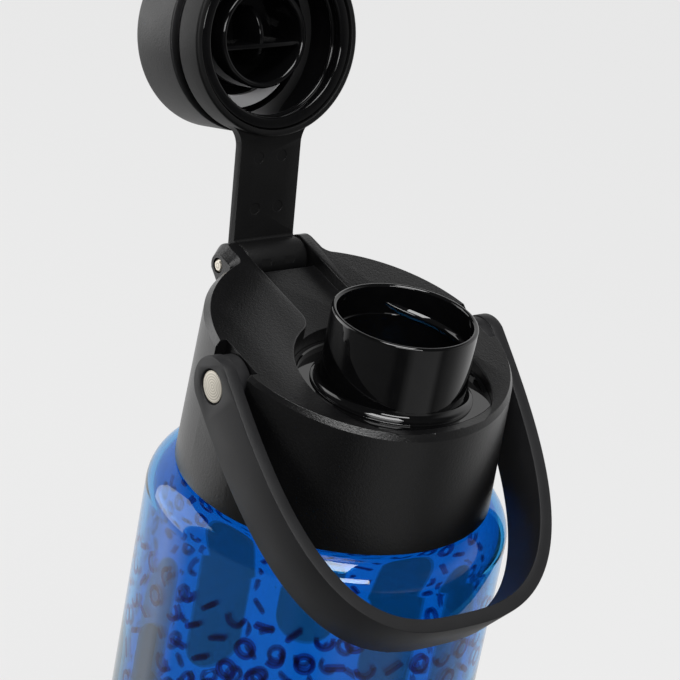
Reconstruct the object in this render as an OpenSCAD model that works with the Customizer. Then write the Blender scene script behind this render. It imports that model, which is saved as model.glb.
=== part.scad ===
// Large water jug: a clear bottle, a screw lid with a drinking spout and a
// flip cap on a strap, and a carry handle that swings on two rivets.
// Millimetres, +Z up, origin on the table under the bottle's axis.
// The strap's hinge is at the back (+Y), the spout stands toward the front.
// The cap is drawn flipped open, the handle resting on the bottle's shoulder.

/* [Bottle] */
// Outer diameter of the bottle
body_d = 104.8; // [98:0.2:125]
// Wall of the bottle
body_wall = 2.4; // [1.6:0.2:4]
// Height of the lid's lower edge above the table
lid_z = 205; // [140:1:300]
// Radius of the shoulder under the lid
shoulder_r = 10; // [6:0.5:11]
// Radius of the rounded heel
heel_r = 9; // [5:0.5:14]
// Width of the flat ring that the bottle stands on
foot_w = 5; // [3:0.5:8]
// Rise of the domed underside
punt = 5; // [2:0.5:10]
// Outer diameter of the neck
neck_d = 78; // [72:0.5:80]
// Wall of the neck
neck_wall = 2.6; // [1.8:0.2:4]
// Height of the neck above the lid's lower edge
neck_h = 18; // [14:0.5:19]

/* [Lid] */
// Wall of the lid's skirt
lid_wall = 3.1; // [2.2:0.1:4]
// How much the lid narrows from its lower edge to its rim
lid_draft = 1.1; // [0:0.1:2]
// Height of the slanted top at the axis
top_h = 43.7; // [42:0.1:48]
// Slant of the top, rising to the back
top_tilt = 9.4; // [6:0.1:12]
// Bevel round the rim
rim_bevel = 2.45; // [1:0.05:3]
// Thickness of the top
roof_t = 2.8; // [2:0.1:3.4]
// Wall of the threaded liner
liner_wall = 1.85; // [1.4:0.05:2.6]
// Thickness of the liner's plate
plate_t = 2.6; // [2:0.1:3.5]
// Height of the gasket between the neck and the plate
gasket_t = 2; // [1.5:0.1:3]
// Width of the gasket
gasket_w = 4; // [3:0.1:5]

/* [Spout] */
// Distance of the spout's axis in front of the lid's axis
spout_front = 17.2; // [14:0.1:18]
// Outer diameter of the spout
spout_d = 41; // [36:0.5:42]
// Wall of the spout
spout_wall = 1.5; // [1.2:0.1:2.5]
// Height of the spout's lip above the gloss floor
spout_rise = 22.3; // [18:0.1:28]
// Depth of the gloss floor below the slanted top, at the lid's axis
floor_drop = 7.2; // [6.6:0.1:7.6]
// Thickness of that floor
floor_t = 2.6; // [2:0.1:3.5]
// Width of the floor between the spout and the wall of its recess
floor_w = 7.8; // [6.5:0.1:9]
// Spread of the spout's foot
foot_flare = 2.4; // [1:0.1:3]

/* [Hinge and strap] */
// Distance of the hinge axis behind the rim
hinge_out = 2.7; // [1.5:0.1:4]
// Depth of the hinge axis below the slanted top
hinge_drop = 5.8; // [5.2:0.1:6.4]
// Width of the channel that the strap lies in
channel_w = 24; // [20:0.5:26]
// Depth of that channel
channel_d = 3.8; // [3.5:0.1:4.5]
// Thickness of each hinge ear
ear_t = 5.3; // [4:0.1:8]
// Radius of the sweep from the rim out to an ear
ear_flare = 10; // [6:0.5:14]
// Radius of the strap's hinge barrel
barrel_r = 6.6; // [4.5:0.1:7]
// Diameter of the hinge pin
pin_d = 3.7; // [2.5:0.1:5]
// Side play of the barrel at each ear
barrel_gap = 0.9; // [0.3:0.1:1.5]
// Gap between the strap and each wall of its channel
strap_gap = 2; // [1:0.1:3]
// Thickness of the strap
strap_t = 3; // [2:0.1:3.2]
// Fillet between the strap and its barrel
fillet_r = 3; // [1:0.1:4]
// Radius of the strap's flare into its ring
flare_r = 8; // [4:0.5:12]
// Height of the strap's ring
ring_h = 9.1; // [7:0.1:10]

/* [Cap] */
// Angle that the cap is flipped open
open_angle = 107.6; // [0:0.1:115]
// Height of the cap's mouth above the gloss floor when it is closed
mouth_gap = 2.1; // [1:0.1:3]
// Groove between the strap's ring and the knob
groove_h = 4.1; // [2:0.1:6]
// Depth of that groove
groove_d = 2.4; // [1:0.1:2.6]
// Thickness of the knob's top
knob_top = 7.1; // [2.5:0.1:8]
// Rounding of the knob's top edge
knob_edge = 2; // [0.5:0.1:3]
// Wall of the cap's gloss liner
skirt_wall = 1.5; // [1:0.1:2]
// Wall of the plug that enters the spout
plug_wall = 2; // [1.2:0.1:3]
// Space between the plug and the spout's bore
plug_gap = 4.2; // [2:0.1:6]
// How far the plug's end lies inside the mouth
plug_in = 6.5; // [3:0.1:9]
// Thickness of the ribs that cross the plug
rib_t = 1.6; // [1:0.1:3]
// Thickness of the cap's seal
seal_t = 1.9; // [1.2:0.1:3]

/* [Handle] */
// Reach of the handle from its pivot
handle_len = 81.5; // [76:0.5:110]
// Width of the handle's band
band_w = 17; // [12:0.5:17]
// Thickness of the handle's band
band_t = 4; // [3:0.1:6]
// Fullness of the handle's bow, 2 being an ellipse
bow = 2.8; // [2.6:0.1:3.6]
// Depth of the handle's pivot below the slanted top
pivot_drop = 8.6; // [7.6:0.1:10.6]
// Depth of the side flats that the arms swing past
flat_d = 0.1; // [0.1:0.1:1]
// Length of the round hubs that turn in the rim's notches
hub_l = 3.85; // [2:0.05:4]
// Diameter of the rivets' heads
rivet_head_d = 9; // [7:0.1:10]
// Diameter of the rivets' shanks
rivet_d = 5; // [3:0.1:6]
// Thickness of the clinch washers behind the lid's wall
washer_t = 1.2; // [0.8:0.1:2]
// Diameter of those washers
washer_d = 10; // [8:0.1:12]

/* [Clearances] */
// Gap between parts that move past each other
swing_gap = 0.3; // [0.2:0.05:0.6]
// Radial clearance of a turning bore on its pin
run_gap = 0.06; // [0.02:0.01:0.1]
// Gap of parts that are set into each other
seat_gap = 0.15; // [0.05:0.05:0.25]
// Room for the thread between the neck and the liner
thread_gap = 1.4; // [1:0.1:2]
// Gap between the lid's lower edge and the shoulder
lid_gap = 0.6; // [0.4:0.1:2]
// Room between the spout and the cap's liner
cap_gap = 2; // [1:0.1:3]

/* [Hidden] */
$fn = 96;
far = 200;
body_r = body_d / 2;
neck_r = neck_d / 2;
shoulder_top = -lid_gap;
shoulder_c = shoulder_top - shoulder_r;
foot_ri = body_r - heel_r - foot_w;
punt_r = (foot_ri * foot_ri + punt * punt) / (2 * punt);

liner_ri = neck_r + thread_gap;
liner_ro = liner_ri + liner_wall;
lid_ri = liner_ro + seat_gap;
lid_r = lid_ri + lid_wall;
rim_r = lid_r - lid_draft;
plate_h = neck_h + gasket_t;
ledge_h = plate_h + plate_t;
ledge_w = 2;
cavity_r = lid_ri - ledge_w;

spout_r = spout_d / 2;
floor_h = top_h - floor_drop;
spout_h = floor_h + spout_rise;
bore_r = spout_r - spout_wall;
recess_r = spout_r + floor_w;
front_wall = 3.3;
cup_wall = 2.4;

hinge_y = rim_r + hinge_out;
hinge_h = top_at(hinge_y) - hinge_drop;
ear_r = hinge_drop * cos(top_tilt) + 0.2;
ear_x = channel_w / 2 + ear_t;
ear_root = 13;
strap_w = channel_w - 2 * strap_gap;
strap_drop = 0.2;

skirt_ri = spout_r + cap_gap;
skirt_ro = skirt_ri + skirt_wall;
ring_ri = skirt_ro + swing_gap;
ring_ro = recess_r - swing_gap - 0.1;
flange_ro = skirt_ro + 1.7;
flange_t = 1.6;
lip_t = 0.6;
mouth_h = floor_h + mouth_gap;
ring_top = mouth_h + ring_h;
neck_z = ring_top + seat_gap;
knob_z = ring_top + groove_h;
seal_z = spout_h + seat_gap;
ceiling_z = seal_z + seal_t;
ceiling_t = 2.5;
knob_h = ceiling_z + ceiling_t + knob_top;
plug_ro = bore_r - plug_gap;

pivot_h = top_h - pivot_drop;
flat_x = rim_r - flat_d;
flat_low = pivot_h - 20;
flat_fade = 11;
arm_x = flat_x + swing_gap;
handle_x = arm_x + band_t;
notch_x = arm_x - hub_l - swing_gap + 0.05;
hub_r = band_w / 2 - 0.3;
notch_r = hub_r + swing_gap + 0.1;
pad_t = 3.4;
pad_x = notch_x - pad_t;
pad_r = notch_r + 2.3;
sink_d = rivet_head_d + 2 * swing_gap;
sink_t = 1.3;
head_out = 0.5;
tail_l = 0.6;
handle_rest = rest_angle(25, 80);

// Height of the slanted top at a distance y behind the axis
function top_at(y) = top_h + y * tan(top_tilt);

// Distance of a plan fillet's centre along its strip
function flare_y(ro, w, r) = sqrt(pow(ro + r, 2) - pow(w + r, 2));

// Points of half a rounded bow, from its side at t = 0 down to its foot
function bow_points(a, l, n = 40) =
    [for (i = [0:n]) let (u = 90 * i / n) [a * pow(cos(u), 2 / bow), -l * pow(sin(u), 2 / bow)]];

// Radius of the bottle's outside at a height below the lid
function body_at(z) = z < shoulder_c ? body_r
    : z < shoulder_top ? body_r - shoulder_r + sqrt(pow(shoulder_r, 2) - pow(z - shoulder_c, 2)) : 0;

// Least gap between the handle's inner edge and the bottle, hanging th in front of plumb
function hang_gap(th) = min([for (p = bow_points(arm_x, handle_len - band_t), s = [-1, 1])
    let (y = p[1] * sin(th) - s * band_w / 2 * cos(th), z = pivot_h + p[1] * cos(th) + s * band_w / 2 * sin(th))
    norm([p[0], y]) - body_at(z)]);

// Angle at which the hanging handle comes to rest on the shoulder, found by halving
function rest_angle(a, b, n = 16) = n == 0 ? b
    : let (m = (a + b) / 2) hang_gap(m) > swing_gap ? rest_angle(a, m, n - 1) : rest_angle(m, b, n - 1);

module on_lid() { translate([0, 0, lid_z]) children(); }
module on_spout() { translate([0, -spout_front, 0]) children(); }

// A part of the cap, drawn closed, turned open about the hinge
module flipped() {
    translate([0, hinge_y, hinge_h]) rotate([-open_angle, 0, 0]) translate([0, -hinge_y, -hinge_h]) children();
}

// A cylinder along X
module x_rod(r, x0, x1, y = 0, z = 0) { translate([x0, y, z]) rotate([0, 90, 0]) cylinder(r = r, h = x1 - x0); }

// A profile drawn in Y and Z, carried along X
module x_extrude(x0, x1) { translate([x0, 0, 0]) rotate([90, 0, 90]) linear_extrude(height = x1 - x0) children(); }

module tube(ro, ri, z0, z1) {
    translate([0, 0, z0]) difference() {
        cylinder(r = ro, h = z1 - z0);
        translate([0, 0, -1]) cylinder(r = ri, h = z1 - z0 + 2);
    }
}

module both_sides() {
    children();
    mirror([1, 0, 0]) children();
}

// Everything below the slanted top, lowered by drop
module below_top(drop) {
    translate([0, 0, top_h - drop]) rotate([top_tilt, 0, 0]) translate([-far / 2, -far / 2, -far]) cube(far);
}

// Fillet in plan, of radius r, where a strip of half width w leaves a circle of radius ro
module flare(ro, w, r) {
    lap = 0.02;
    cx = w - lap + r;
    cy = flare_y(ro - lap, w - lap, r);
    k = (ro - lap) / (ro - lap + r);
    difference() {
        polygon([[0, 0], [cx * k, cy * k], [cx, cy], [w, cy], [0, cy]]);
        translate([cx, cy]) circle(r = r);
    }
}

// Fillet between the strap's underside and its barrel, with room left around it
module barrel_fillet(room) {
    n0 = (hinge_drop - strap_drop - strap_t) * cos(top_tilt);
    nc = n0 - fillet_r;
    sc = -sqrt(pow(barrel_r + fillet_r, 2) - pow(nc, 2));
    k = barrel_r / (barrel_r + fillet_r);
    translate([hinge_y, hinge_h]) rotate(top_tilt) difference() {
        polygon([[0, 0], [sc * k, nc * k], [sc, nc], [sc, n0], [0, n0]]);
        translate([sc, nc]) circle(r = fillet_r - room);
    }
}

// Half section of the bottle, drawn in by inset
module bottle_half(inset) {
    r = body_r - inset;
    low = lid_z + shoulder_c;
    translate([0, inset]) square([body_r - heel_r, heel_r]);
    translate([body_r - heel_r, heel_r]) circle(r = heel_r - inset);
    translate([0, heel_r]) square([r, low - heel_r]);
    translate([body_r - shoulder_r, low]) circle(r = shoulder_r - inset);
    translate([0, low - 1]) square([body_r - shoulder_r, shoulder_r + 1 - inset]);
}

module bottle_body() {
    color([0.08, 0.33, 0.85, 0.75]) rotate_extrude() difference() {
        union() {
            bottle_half(0);
            translate([0, lid_z - shoulder_r]) square([neck_r, shoulder_r + neck_h]);
        }
        difference() {
            union() {
                bottle_half(body_wall);
                translate([0, lid_z - shoulder_r]) square([neck_r - neck_wall, shoulder_r + neck_h + 1]);
            }
            translate([0, punt - punt_r]) circle(r = punt_r + body_wall);
        }
        translate([0, punt - punt_r]) circle(r = punt_r);
    }
}

module neck_gasket() {
    color("gainsboro") on_lid() tube(neck_r, neck_r - gasket_w, neck_h, plate_h);
}

// Skirt and plate that screw on the neck and carry the spout
module thread_liner() {
    color("#202022") on_lid() difference() {
        translate([0, 0, 1.2]) cylinder(r = liner_ro, h = ledge_h - 1.2);
        cylinder(r = liner_ri, h = plate_h);
        on_spout() cylinder(r = bore_r, h = far);
    }
}

// Spout, its gloss floor and the flange that seats under the lid's recess
module spout() {
    floor_z = floor_h - floor_t;
    color("#0b0b0c") on_lid() union() {
        on_spout() rotate_extrude() union() {
            translate([bore_r, ledge_h]) square([spout_wall, spout_h - spout_wall / 2 - ledge_h]);
            translate([bore_r + spout_wall / 2, spout_h - spout_wall / 2]) circle(r = spout_wall / 2);
            translate([bore_r, floor_h - floor_t / 2]) difference() {
                square([spout_wall + foot_flare, floor_t / 2 + foot_flare]);
                translate([spout_wall + foot_flare, floor_t / 2 + foot_flare]) circle(r = foot_flare);
            }
        }
        intersection() {
            on_spout() tube(recess_r - seat_gap, bore_r + spout_wall / 2, floor_z, floor_h);
            cylinder(r = rim_r - front_wall - seat_gap, h = far);
        }
        intersection() {
            on_spout() tube(recess_r + cup_wall - seat_gap, bore_r + spout_wall / 2, floor_z - 2, floor_z);
            cylinder(r = cavity_r - seat_gap, h = far);
        }
        // low ledge at the foot of the recess wall, running out to the front
        intersection() {
            on_spout() tube(recess_r - seat_gap, recess_r - 1.7, floor_h - 0.5, floor_h + 1.3);
            cylinder(r = rim_r - front_wall - seat_gap, h = far);
            below_top(2.6);
        }
    }
}

// Outside of the lid: drafted wall, bevelled rim and hinge ears, cut off by the slanted top
module lid_block() {
    cone_h = 70;
    intersection() {
        union() {
            intersection() {
                cylinder(r1 = lid_r, r2 = lid_r - lid_draft * cone_h / top_h, h = cone_h);
                translate([0, 0, top_h]) rotate([top_tilt, 0, 0]) translate([0, 0, -far])
                    cylinder(r1 = rim_r - rim_bevel + far, r2 = rim_r - rim_bevel - 5, h = far + 5);
            }
            both_sides() ear();
        }
        below_top(0);
    }
}

// One hinge ear: a knuckle round the pin, flush with the top and gusseted down the back
module ear_profile() {
    root_y = sqrt(pow(rim_r, 2) - pow(ear_x, 2)) - 0.5;
    in_y = root_y - 8;
    down = atan2(ear_root, hinge_y - root_y) - 90;
    translate([hinge_y, hinge_h]) circle(r = ear_r);
    polygon([[in_y, top_at(in_y) + 1],
             [hinge_y, top_at(hinge_y) + 1],
             [hinge_y + (ear_r - 0.1) * cos(down), hinge_h + (ear_r - 0.1) * sin(down)],
             [root_y, hinge_h - ear_root],
             [in_y, hinge_h - ear_root]]);
}

// One ear with the bevelled sweep that leads the rim out to it
module ear() {
    difference() {
        intersection() {
            x_extrude(channel_w / 2 - 0.5, far) ear_profile();
            linear_extrude(height = far) {
                square([ear_x, far]);
                flare(rim_r, ear_x, ear_flare);
            }
        }
        translate([0, 0, top_h]) rotate([top_tilt, 0, 0])
            translate([ear_x + ear_flare, flare_y(rim_r, ear_x, ear_flare) / cos(top_tilt), -rim_bevel])
            cylinder(r1 = ear_flare, r2 = ear_flare + rim_bevel + 2, h = rim_bevel + 2);
    }
}

// Hollow of the lid above the liner, clear of the recess, channel, hinge and rivet pads
module lid_hollow() {
    back_y = hinge_y - barrel_r - swing_gap - cup_wall;
    difference() {
        intersection() {
            translate([0, 0, ledge_h - 0.01]) cylinder(r = cavity_r, h = far);
            below_top(roof_t);
        }
        on_spout() translate([0, 0, floor_h - floor_t]) cylinder(r = recess_r + cup_wall, h = far);
        difference() {
            translate([-channel_w / 2 - cup_wall, 0, 0]) cube([channel_w + 2 * cup_wall, far, far]);
            below_top(channel_d + cup_wall);
        }
        translate([-ear_x, back_y, hinge_h - barrel_r - 3]) cube([2 * ear_x, far, far]);
        both_sides() x_rod(pad_r, pad_x, far, 0, pivot_h);
    }
}

module lid_shell() {
    color("#1c1c1e") on_lid() difference() {
        lid_block();
        translate([0, 0, -1]) cylinder(r = lid_ri, h = ledge_h + 1);
        lid_hollow();
        // recess and seat of the spout
        difference() {
            on_spout() translate([0, 0, floor_h - floor_t - 1]) cylinder(r = recess_r, h = far);
            tube(far, rim_r - front_wall, 0, floor_h);
        }
        // channel of the strap and room for its barrel
        x_extrude(-channel_w / 2, channel_w / 2) {
            polygon([[0, top_at(0) - channel_d], [far, top_at(far) - channel_d], [far, far], [0, far]]);
            translate([hinge_y, hinge_h]) circle(r = barrel_r + swing_gap);
            barrel_fillet(swing_gap);
        }
        difference() {
            both_sides() on_spout() linear_extrude(height = far) flare(recess_r, channel_w / 2, flare_r - strap_gap);
            below_top(channel_d);
        }
        x_rod(pin_d / 2, -far / 2, far / 2, hinge_y, hinge_h);
        // flats, notches and rivet holes of the handle
        both_sides() {
            rotate([90, 0, 0]) linear_extrude(height = far, center = true)
                polygon([[flat_x, far], [flat_x, flat_low], [lid_r, flat_low - flat_fade], [far, flat_low - flat_fade], [far, far]]);
            x_extrude(notch_x, far) translate([0, pivot_h]) {
                circle(r = notch_r);
                translate([-notch_r, 0]) square([2 * notch_r, far]);
            }
            x_rod(rivet_d / 2, pad_x - 1, far, 0, pivot_h);
        }
    }
}

module hinge_pin() {
    color("silver") on_lid() x_rod(pin_d / 2, -ear_x, ear_x, hinge_y, hinge_h);
}

// Plan of the strap with its flares into the ring, centred on the cap
module strap_plan() {
    translate([-strap_w / 2, 0]) square([strap_w, hinge_y + spout_front]);
    both_sides() flare(ring_ro, strap_w / 2, flare_r);
}

// Ring that carries the cap, strap and hinge barrel in one moulding
module strap_link() {
    color("#26262a") on_lid() flipped() difference() {
        union() {
            on_spout() rotate_extrude() polygon([[0, mouth_h], [ring_ro - 0.9, mouth_h], [ring_ro, mouth_h + 0.9],
                [ring_ro, ring_top - 0.4], [ring_ro - 0.4, ring_top], [0, ring_top]]);
            difference() {
                intersection() {
                    on_spout() linear_extrude(height = far) strap_plan();
                    below_top(strap_drop);
                }
                below_top(strap_drop + strap_t);
            }
            x_rod(barrel_r, barrel_gap - channel_w / 2, channel_w / 2 - barrel_gap, hinge_y, hinge_h);
            x_extrude(-strap_w / 2, strap_w / 2) barrel_fillet(0);
        }
        on_spout() cylinder(r = ring_ri, h = far);
        on_spout() cylinder(r = flange_ro + swing_gap, h = mouth_h + lip_t + flange_t + swing_gap);
        x_rod(pin_d / 2 + run_gap, -far / 2, far / 2, hinge_y, hinge_h);
    }
}

// Knob that is gripped to screw the cap on, with the groove above the strap's ring
module cap_knob() {
    knob_r = ring_ro;
    color("#1c1c1e") on_lid() flipped() on_spout() rotate_extrude() difference() {
        union() {
            translate([0, neck_z]) square([knob_r - groove_d, knob_z - neck_z + 1]);
            translate([0, knob_z]) square([knob_r, knob_h - knob_edge - knob_z]);
            translate([0, knob_h - knob_edge - 0.5]) square([knob_r - knob_edge, knob_edge + 0.5]);
            translate([knob_r - knob_edge, knob_h - knob_edge]) circle(r = knob_edge);
        }
        square([skirt_ro + seat_gap, ceiling_z + ceiling_t]);
    }
}

// Gloss liner: skirt, snap flange under the ring, ceiling and ribbed plug
module cap_liner() {
    rim_z = mouth_h + lip_t;
    plug_z = mouth_h + plug_in;
    color("#0b0b0c") on_lid() flipped() on_spout() {
        tube(skirt_ro, skirt_ri, rim_z, ceiling_z + 0.5);
        tube(flange_ro, skirt_ro - 0.5, rim_z, rim_z + flange_t);
        translate([0, 0, ceiling_z]) cylinder(r = skirt_ro, h = ceiling_t);
        tube(plug_ro, plug_ro - plug_wall, plug_z, ceiling_z + 0.5);
        for (a = [0, 90]) rotate(a)
            translate([0.5 - plug_ro, -rib_t / 2, plug_z + 5]) cube([2 * plug_ro - 1, rib_t, ceiling_z + 0.5 - plug_z - 5]);
    }
}

module cap_seal() {
    color("dimgray") on_lid() flipped() on_spout() tube(spout_r + cap_gap / 2, bore_r - 1.2, seal_z, ceiling_z);
}

// Bow of the handle, drawn hanging plumb with its pivot at the origin
module handle_bow(a, l, up) {
    half = bow_points(a, l);
    polygon(concat([[a, up]], half, [for (i = [len(half) - 2:-1:0]) [-half[i][0], half[i][1]]], [[-a, up]]));
}

module handle() {
    color("#2b2b2e") on_lid() translate([0, 0, pivot_h]) difference() {
        rotate([-handle_rest, 0, 0]) union() {
            intersection() {
                rotate([90, 0, 0]) linear_extrude(height = band_w, center = true) difference() {
                    handle_bow(handle_x, handle_len, band_w);
                    handle_bow(arm_x, handle_len - band_t, band_w + 1);
                }
                union() {
                    x_rod(band_w / 2, -far / 2, far / 2);
                    translate([-far / 2, -far / 2, -far]) cube([far, far, far]);
                }
            }
            both_sides() x_rod(hub_r, arm_x - hub_l, arm_x + 0.5);
        }
        both_sides() {
            x_rod(rivet_d / 2 + run_gap, 0, far);
            x_rod(sink_d / 2, handle_x - sink_t, far);
        }
    }
}

module handle_rivets() {
    color("lightgray") on_lid() both_sides() translate([0, 0, pivot_h]) {
        x_rod(rivet_d / 2, pad_x - washer_t - tail_l, handle_x - sink_t + 0.5);
        x_rod(rivet_head_d / 2, handle_x - sink_t + 0.05, handle_x + head_out);
    }
}

module rivet_washers() {
    color("silver") on_lid() both_sides() difference() {
        x_rod(washer_d / 2, pad_x - washer_t, pad_x, 0, pivot_h);
        x_rod(rivet_d / 2, 0, far, 0, pivot_h);
    }
}

bottle_body();
neck_gasket();
thread_liner();
spout();
lid_shell();
hinge_pin();
strap_link();
cap_knob();
cap_liner();
cap_seal();
handle();
handle_rivets();
rivet_washers();
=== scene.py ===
import math
import bmesh
import bpy
from mathutils import Matrix, Vector


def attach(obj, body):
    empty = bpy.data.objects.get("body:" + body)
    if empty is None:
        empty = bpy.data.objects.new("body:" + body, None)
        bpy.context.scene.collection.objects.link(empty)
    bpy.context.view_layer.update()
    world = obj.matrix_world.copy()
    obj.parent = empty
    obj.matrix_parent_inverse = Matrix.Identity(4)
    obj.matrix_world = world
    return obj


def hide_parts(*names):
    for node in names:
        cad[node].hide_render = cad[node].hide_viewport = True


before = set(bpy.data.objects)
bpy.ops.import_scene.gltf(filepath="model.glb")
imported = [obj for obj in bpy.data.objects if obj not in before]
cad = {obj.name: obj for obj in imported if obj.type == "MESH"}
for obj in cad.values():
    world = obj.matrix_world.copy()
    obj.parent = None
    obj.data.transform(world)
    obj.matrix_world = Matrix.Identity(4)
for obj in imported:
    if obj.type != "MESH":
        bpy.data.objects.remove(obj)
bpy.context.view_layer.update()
edit = bpy.ops.mesh
mm = 0.001
weld = 2e-6               # points nearer than this become one, in metres
overTop = 290             # height where the tools that cut the lid end

# places that several pieces share, in millimetres and degrees
jug = {
    "lidZ": 205.0,        # lower edge of the lid above the table
    "topH": 43.7,         # slanted top at the axis, above that edge
    "tilt": 9.4,
    "hingeY": 47.1,
    "hingeDrop": 5.8,     # hinge below the slanted top
    "spoutY": -17.2,
    "floorDrop": 7.2,     # gloss floor below the top at the axis
    "pivotDrop": 8.6,     # handle's pivot below the same point
    "openAngle": 107.6,   # the cap is shown flipped open
    "handleRest": 49.2857,
}
tilt = math.radians(jug["tilt"])
tiltCos, tiltSin, slope = math.cos(tilt), math.sin(tilt), math.tan(tilt)


def topAt(y):
    return jug["lidZ"] + jug["topH"] + y * slope


hinge = Vector((0, jug["hingeY"], topAt(jug["hingeY"]) - jug["hingeDrop"]))
floorZ = jug["lidZ"] + jug["topH"] - jug["floorDrop"]
pivot = Vector((0, 0, jug["lidZ"] + jug["topH"] - jug["pivotDrop"]))
topPoint = Vector((0, 0, jug["lidZ"] + jug["topH"]))
topNormal = Vector((0, -tiltSin, tiltCos))
upSlope = Vector((0, topNormal.z, -topNormal.y))
spoutAxis = (0, jug["spoutY"], 0)


# outlines
def arc(cx, cy, r, start, end, steps):
    turns = [math.radians(start + (end - start) * i / steps) for i in range(steps + 1)]
    return [(cx + r * math.cos(a), cy + r * math.sin(a)) for a in turns]


def flareArc(ro, w, r, steps, side=1):
    # plan fillet of radius r from the circle ro to the strip of half width w
    cx, cy = w + r, math.sqrt((ro + r) ** 2 - (w + r) ** 2)
    start = math.degrees(math.atan2(-cy, -cx)) % 360
    return [(side * x, y) for x, y in arc(cx, cy, r, start, 180, steps)]


def barrelFillet(level, barrelR, r):
    # centre of a rounding under a level and against the barrel, and its direction from the hinge
    nc = level - r
    sc = -math.sqrt((barrelR + r) ** 2 - nc ** 2)
    return sc, nc, math.degrees(math.atan2(nc, sc)) % 360


def atHinge(points):
    # from along and across the slanted top, with the hinge at zero, to y and z
    return [(hinge.y + a * tiltCos - b * tiltSin, hinge.z + a * tiltSin + b * tiltCos) for a, b in points]


# working with one piece at a time
def only(piece):
    bpy.ops.object.select_all(action="DESELECT")
    if piece:
        piece.select_set(True)
    bpy.context.view_layer.objects.active = piece


def editing(piece):
    only(piece)
    bpy.ops.object.mode_set(mode="EDIT")
    edit.select_mode(type="VERT")
    edit.select_all(action="SELECT")


def finished():
    bpy.ops.object.mode_set(mode="OBJECT")


def outward():
    edit.select_all(action="SELECT")
    edit.normals_make_consistent(inside=False)
    finished()


def named(name):
    piece = bpy.context.active_object
    piece.name = piece.data.name = name
    return piece


def pushed(way):
    return {"value": Vector(way) * mm}


def drawLine(name, points):
    only(None)
    edit.primitive_plane_add(size=mm)
    piece = named(name)
    editing(piece)
    edit.merge(type="CENTER")
    bpy.ops.transform.translate(**pushed(points[0]))
    for a, b in zip(points, points[1:]):
        edit.extrude_vertices_move(TRANSFORM_OT_translate=pushed(Vector(b) - Vector(a)))
    finished()
    return piece


def lathe(name, profile, steps, centre=(0, 0, 0), axis="Z"):
    # profile holds radius and height along the axis
    c = Vector(centre)
    if axis == "Z":
        line, turn = [c + Vector((r, 0, h)) for r, h in profile], (0, 0, 1)
    else:
        line, turn = [c + Vector((h, 0, r)) for r, h in profile], (1, 0, 0)
    piece = drawLine(name, line)
    editing(piece)
    edit.spin(steps=steps, angle=math.tau, center=c * mm, axis=turn)
    edit.select_all(action="SELECT")
    edit.remove_doubles(threshold=weld)
    outward()
    return piece


def slab(name, outline, push):
    # a closed outline filled and pushed along a vector
    piece = drawLine(name, outline)
    editing(piece)
    edit.edge_face_add()
    edit.extrude_region_move(TRANSFORM_OT_translate=pushed(push))
    outward()
    return piece


def taper(name, r1, r2, a, b, steps):
    # a round bar from a to b, with a radius for each end
    a, b = Vector(a), Vector(b)
    only(None)
    edit.primitive_cone_add(
        vertices=steps, radius1=r1 * mm, radius2=r2 * mm, depth=(b - a).length * mm,
        location=(a + b) / 2 * mm, rotation=(b - a).to_track_quat("Z", "Y").to_euler())
    piece = named(name)
    bpy.ops.object.transform_apply(location=True, rotation=True, scale=True)
    return piece


def rod(name, r, a, b, steps):
    return taper(name, r, r, a, b, steps)


def applied(piece, kind, **values):
    only(piece)
    step = piece.modifiers.new(kind.lower(), kind)
    for key, value in values.items():
        setattr(step, key, value)
    bpy.ops.object.modifier_apply(modifier=step.name)


def screwed(name, outline, degrees, rise, steps):
    # a closed outline swept round the vertical axis, with its ends filled
    piece = drawLine(name, outline)
    applied(piece, "SCREW", angle=math.radians(degrees), screw_offset=rise * mm,
            steps=steps, render_steps=steps, axis="Z")
    editing(piece)
    edit.remove_doubles(threshold=weld)
    edit.fill_holes(sides=8)
    edit.normals_make_consistent(inside=False)
    finished()
    return piece


def carve(piece, tool, how="DIFFERENCE"):
    applied(piece, "BOOLEAN", operation=how, solver="EXACT", object=tool)
    bpy.data.objects.remove(tool)


def bevelWhere(piece, width, steps, pick, clamp=True):
    # pick is given an edge and its middle in millimetres
    editing(piece)
    edit.select_mode(type="EDGE")
    edit.select_all(action="DESELECT")
    shape = bmesh.from_edit_mesh(piece.data)
    shape.normal_update()
    count = 0
    for edge in shape.edges:
        if len(edge.link_faces) == 2 and pick(edge, (edge.verts[0].co + edge.verts[1].co) / 2 / mm):
            edge.select_set(True)
            count += 1
    bmesh.update_edit_mesh(piece.data)
    if count:
        edit.bevel(offset_type="OFFSET", offset=width * mm, segments=steps, profile=0.5, affect="EDGES",
                   clamp_overlap=clamp)
    finished()
    return count


def sharp(edge, degrees):
    return edge.calc_face_angle_signed(0) > math.radians(degrees)


def cleaned(piece, gap=0.01):
    editing(piece)
    edit.remove_doubles(threshold=gap * mm)
    edit.dissolve_degenerate(threshold=gap * mm)
    finished()


def turned(piece, degrees, axis, centre):
    # without a window the operator turns the other way round
    editing(piece)
    bpy.ops.transform.rotate(value=-math.radians(degrees), orient_axis=axis, orient_type="GLOBAL",
                             center_override=Vector(centre) * mm)
    finished()


def flipped(piece):
    turned(piece, -jug["openAngle"], "X", hinge)


def smooth(piece, degrees=32):
    only(piece)
    bpy.ops.object.shade_smooth_by_angle(angle=math.radians(degrees))


def joined(piece, *others):
    only(piece)
    for other in others:
        other.select_set(True)
    bpy.ops.object.join()
    return piece


def settle(piece, body, material, nodes=()):
    piece.data.materials.clear()
    piece.data.materials.append(material)
    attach(piece, body)
    if nodes:
        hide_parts(*nodes)
    print("made", piece.name, len(piece.data.polygons), "faces")


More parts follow.
